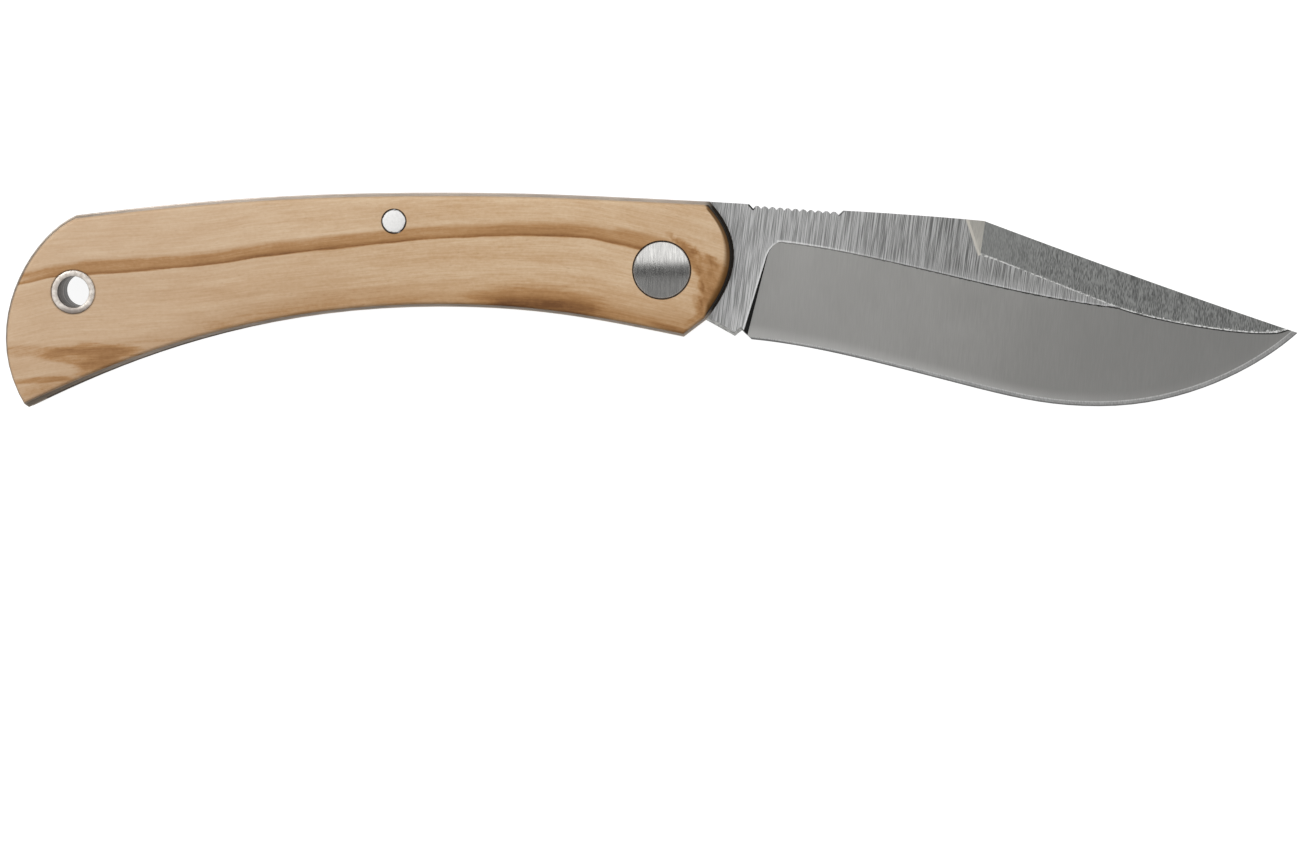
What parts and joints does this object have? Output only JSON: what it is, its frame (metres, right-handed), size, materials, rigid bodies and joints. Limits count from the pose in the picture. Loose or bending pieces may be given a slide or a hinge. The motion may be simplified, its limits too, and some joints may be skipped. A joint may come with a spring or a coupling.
{
  "type": "folding pocket knife",
  "caption": "Slip-joint folding pocket knife with a clip-point blade, olive wood scales over steel liners, a full-length backspring and a lanyard tube",
  "frame": {"origin": "On the pivot axis, in the plane of the rear scale's outer face, on which the knife lies", "axes": "+X along the open blade to its tip, +Y to the back of the handle, +Z through the thickness to the front scale"},
  "size_m": [0.1693, 0.028, 0.0099],
  "materials": {
    "blade_steel": "cross-brushed flats, finely ground bevels",
    "frame_steel": "satin, fine brushing",
    "olive_wood": "smooth oiled olive wood with darker streaks",
    "bronze": "rolled bronze sheet",
    "pin_steel": "satin",
    "disc_steel": "straight brushed face",
    "tube_steel": "turned, bright rim"
  },
  "bodies": {
    "handle": {"backspring": "frame_steel", "front_liner": "frame_steel", "rear_liner": "frame_steel", "front_scale": "olive_wood", "rear_scale": "olive_wood", "front_washer": "bronze", "rear_washer": "bronze", "pivot_pin": "pin_steel", "front_pivot_cap": "disc_steel", "rear_pivot_cap": "disc_steel", "centre_pin": "pin_steel", "lanyard_tube": "tube_steel"},
    "blade": {"blade": "blade_steel"}
  },
  "joints": [
    {"name": "blade_fold", "type": "hinge", "parent": "handle", "child": "blade", "pos_m": [0, 0, 0.00495], "axis": [0, 0, -1], "range_deg": [0, 164], "deforming": ["backspring"]}
  ]
}
